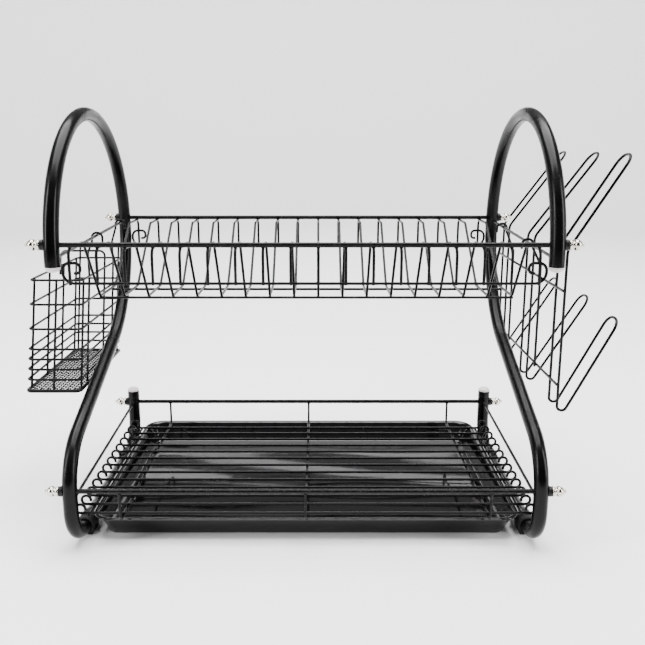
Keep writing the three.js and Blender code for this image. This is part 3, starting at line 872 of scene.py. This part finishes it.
# Drip tray: thin glossy black plastic with flared sides, a rolled rim and a faintly wavy floor. It
# stands loose on the worktop between the side frames.
tray_low, tray_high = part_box("drip_tray")
tray_section = [
    (0.0195, 0.0004), (0.0172, 0.0000), (0.0160, 0.0002), (0.0152, 0.0010),
    (0.0110, 0.0088), (0.0054, 0.0182), (0.0046, 0.0192), (0.0034, 0.0197),
    (0.0014, 0.0197), (0.0004, 0.0202), (0.0000, 0.0209), (0.0003, 0.0216),
    (0.0012, 0.0220), (0.0026, 0.0220), (0.0038, 0.0217), (0.0047, 0.0209),
    (0.0058, 0.0197), (0.0116, 0.0095), (0.0160, 0.0028), (0.0170, 0.0020),
    (0.0186, 0.0016),
]


def tray_ring(mesh, inset, height, ripple=0.0):
    """A rounded rectangle inside the tray's outline, lifted by a ripple where it is the floor."""
    half_x = (tray_high.x - tray_low.x) / 2 - inset + 0.0035 * min(1.0, inset / 0.0155)
    half_y = (tray_high.y - tray_low.y) / 2 - inset
    centre = (tray_low + tray_high) / 2
    corner = min(max(0.020 - 0.75 * inset, 0.006), half_x - 0.001, half_y - 0.001)
    line = []
    for quarter, (sx, sy) in enumerate(((1, 1), (-1, 1), (-1, -1), (1, -1))):
        arc_x, arc_y = sx * (half_x - corner), sy * (half_y - corner)
        for k in range(11):
            angle = math.pi / 2 * (quarter + k / 10)
            line.append((arc_x + corner * math.cos(angle), arc_y + corner * math.sin(angle)))
        next_x, next_y = ((-1, 1), (-1, -1), (1, -1), (1, 1))[quarter]
        end_x, end_y = line[-1]
        goal_x = next_x * (half_x - corner) if quarter % 2 == 0 else end_x
        goal_y = end_y if quarter % 2 == 0 else next_y * (half_y - corner)
        for k in range(1, 24):
            line.append((end_x + (goal_x - end_x) * k / 24, end_y + (goal_y - end_y) * k / 24))
    ring = []
    for x, y in line:
        wave = math.sin(13 * x + 1.2 * math.sin(31 * y)) * math.sin(83 * y + 1.3 + 2.1 * math.sin(9 * x))
        wave += 0.6 * math.sin(29 * y + 11 * x * x * 9 + 0.7)
        z = tray_low.z + height + ripple * (wave + 1.6)
        ring.append(mesh.verts.new((centre.x + x, centre.y + y, z)))
    return ring


tray = bmesh.new()
under_rings = [tray_ring(tray, inset, 0.0004) for inset in (0.11, 0.08, 0.05)]
section_rings = [tray_ring(tray, inset, height) for inset, height in tray_section]
floor_insets = [0.024 + 0.004 * k for k in range(24)]
floor_rings = [tray_ring(tray, inset, 0.0016, 0.0004) for inset in floor_insets]
tray_rings = under_rings + section_rings + floor_rings
for outer, inner in zip(tray_rings, tray_rings[1:]):
    for k in range(len(outer)):
        j = (k + 1) % len(outer)
        tray.faces.new((outer[k], outer[j], inner[j], inner[k]))
tray.faces.new(tray_rings[0][::-1])
tray.faces.new(tray_rings[-1])
tray_plastic = coated_material(
    "glossy_tray_plastic",
    base=(0.0015, 0.0014, 0.0017),
    dust=(0.03, 0.028, 0.03),
    rubbed=(0.02, 0.02, 0.02),
    gloss=(0.05, 0.1),
    peel=120.0,
    dust_amount=0.06,
    wear_amount=0.3,
    peel_distance=0.00003,
    shine=0.5,
)
finish_piece("moulded_tray", tray, tray_plastic, "drip_tray", ["drip_tray"], crease=60)

# Cutlery basket: closed hoops of thin wire welded to uprights, with two hooks over the left stay,
# two cross loops that part the cutlery and a floor of expanded metal. It leans back a little.
basket_wire = 0.00115
floor_hoop_radius = 0.0017
strand_radius = 0.0006
basket_front = 70
basket_back = 213
basket_rake = 28
basket_inner = half_span + 6.35 + 0.3 + 1.8
basket_outer = basket_inner + 49
basket_floor = rail_height - 145
basket_top = rail_height - 46
hoop_heights = [rail_height - drop for drop in (46, 68, 90, 108, 117, 126, 135)]


def raked(x, y, z, *radius):
    """A corner of the basket at a place above its floor, shifted back by its height."""
    return (-x, y + basket_rake * (z - basket_floor) / (basket_top - basket_floor), z, *radius)


def stay_top(y):
    """The height of the upper stay's top, in millimetres, at a place between front and back."""
    return (stay_height(upper_stay, leg_y + y * 0.001) - worktop) * 1000 + 1.4


def over_stay(way, y, foot, knee, diameter):
    """A hook's corners: up from its foot, over the stay and down inside it."""
    top = stay_top(y) + 0.3 + diameter / 2
    return [
        *foot,
        (foot[0][0], y, knee, 4),
        (way * (half_span + 5), y, top - 8, 4),
        (way * (half_span + 5), y, top, 4.75),
        (way * (half_span - 5), y, top, 4.75),
        (way * (half_span - 5), y, top - 9),
    ]


def hoop(z):
    return [
        raked(basket_inner, basket_front, z, 5),
        raked(basket_inner, basket_back, z, 5),
        raked(basket_outer, basket_back, z, 5),
        raked(basket_outer, basket_front, z, 5),
    ]


hoops = bmesh.new()
for z in hoop_heights:
    sweep(hoops, bent(hoop(z), closed=True), basket_wire, 12, closed=True)
sweep(hoops, bent(hoop(basket_floor), closed=True), floor_hoop_radius, 14, closed=True)
finish_piece("basket_hoops", hoops, black_paint, "cutlery_basket",
             ["basket_outer_wall", "basket_front_wall", "basket_rear_wall"])
uprights = bmesh.new()
span = basket_back - basket_front
middle = (basket_inner + basket_outer) / 2
upright_places = [(basket_outer - 1.3, basket_front + share * span) for share in (0.06, 0.35, 0.65, 0.94)]
upright_places += [(basket_inner + 1.3, basket_front + 0.06 * span), (middle, basket_front + 1.3)]
for x, y in upright_places:
    sweep(uprights, bent([raked(x, y, basket_floor), raked(x, y, basket_top + 0.9)]), basket_wire)
loop_top = rail_height - 30
for y, inner, outer, foot in (
    (basket_front + 0.56 * span, basket_inner + 1.3, basket_outer - 1.9, basket_top - 8),
    (basket_back - 1.3, basket_inner + 3.2, basket_outer - 3.2, basket_floor),
):
    loop = [
        raked(inner, y, basket_floor),
        raked(inner, y, loop_top, 6),
        raked(outer, y, loop_top, 6),
        raked(outer, y, foot),
    ]
    sweep(uprights, bent(loop), basket_wire)
for y in (125, 211):
    hook_x = -basket_inner - 1.3
    foot = [raked(-hook_x, y - basket_rake, basket_floor), (hook_x, y, basket_top, 12)]
    sweep(uprights, bent(over_stay(-1, y, foot, basket_top + 22, 1.8)), basket_wire)
finish_piece("basket_uprights", uprights, black_paint, "cutlery_basket",
             ["basket_inner_wall"])
floor_mesh = bmesh.new()
strand_gap = 3.05
strand_pitch = 5.6
low_x, high_x = basket_inner + 1.2, basket_outer - 1.2
count_x = int((high_x - low_x) / strand_gap)
count_y = int((basket_back - basket_front - 3) / strand_pitch * 2)
for row in range(count_x + 1):
    strand = []
    for k in range(count_y + 1):
        y = basket_front + 1.5 + k * strand_pitch / 2
        bow = 0.42 * strand_gap * (1 if (k + row) % 2 else -1)
        x = low_x + (high_x - low_x) * row / count_x + bow
        strand.append(at(-max(low_x - 0.8, min(high_x + 0.8, x)), y, basket_floor + 0.12 * (-1) ** k))
    sweep(floor_mesh, strand, strand_radius, 6, round_ends=False)
finish_piece("basket_mesh", floor_mesh, black_paint, "cutlery_basket", ["basket_floor"],
             crease=30)

# Glass holder: three closed loops of wire that bend out twice into prongs, held by two cross wires,
# with two hooks over the right stay.
holder_x = half_span + 17
holder_front = 38
upper_prong_rise = 70
lower_prong_rise = 93
loops = [(holder_front, 48), ((holder_front + rail_back) / 2, 57), (rail_back, 57)]
half_loop = 11.5
bend_z = rail_height - 8
holder_foot = rail_height - 161
glass_rack = bmesh.new()
for place, prong_reach in loops:
    near, far = place - half_loop, place + half_loop
    tip_x = holder_x + prong_reach
    loop = [
        (tip_x, near, rail_height + upper_prong_rise, 0.85 * half_loop),
        (holder_x, near, bend_z, 12),
        (holder_x, near, holder_foot, 4.2),
        (tip_x, near, holder_foot + lower_prong_rise, 0.85 * half_loop),
        (tip_x, far, holder_foot + lower_prong_rise, 0.85 * half_loop),
        (holder_x, far, holder_foot, 4.2),
        (holder_x, far, bend_z, 12),
        (tip_x, far, rail_height + upper_prong_rise, 0.85 * half_loop),
    ]
    sweep(glass_rack, bent(loop, closed=True), wire_radius, 12, closed=True)
cross_x = holder_x - 1.9
cross_ends = (holder_front - half_loop - 2.2, rail_back + half_loop + 2.2)
cross_heights = (rail_height - 42, rail_height - 124)
for z in cross_heights:
    sweep(glass_rack, bent([(cross_x, y, z) for y in cross_ends]), wire_radius, 12)
for y in (86, 184):
    foot = [(cross_x - 1.9, y, cross_heights[1] - 2.2)]
    hook = over_stay(1, y, foot, cross_heights[0] + 12, 2.2)
    sweep(glass_rack, bent(hook), wire_radius, 12)
finish_piece("holder_loops", glass_rack, black_paint, "glass_holder", ["glass_holder"])
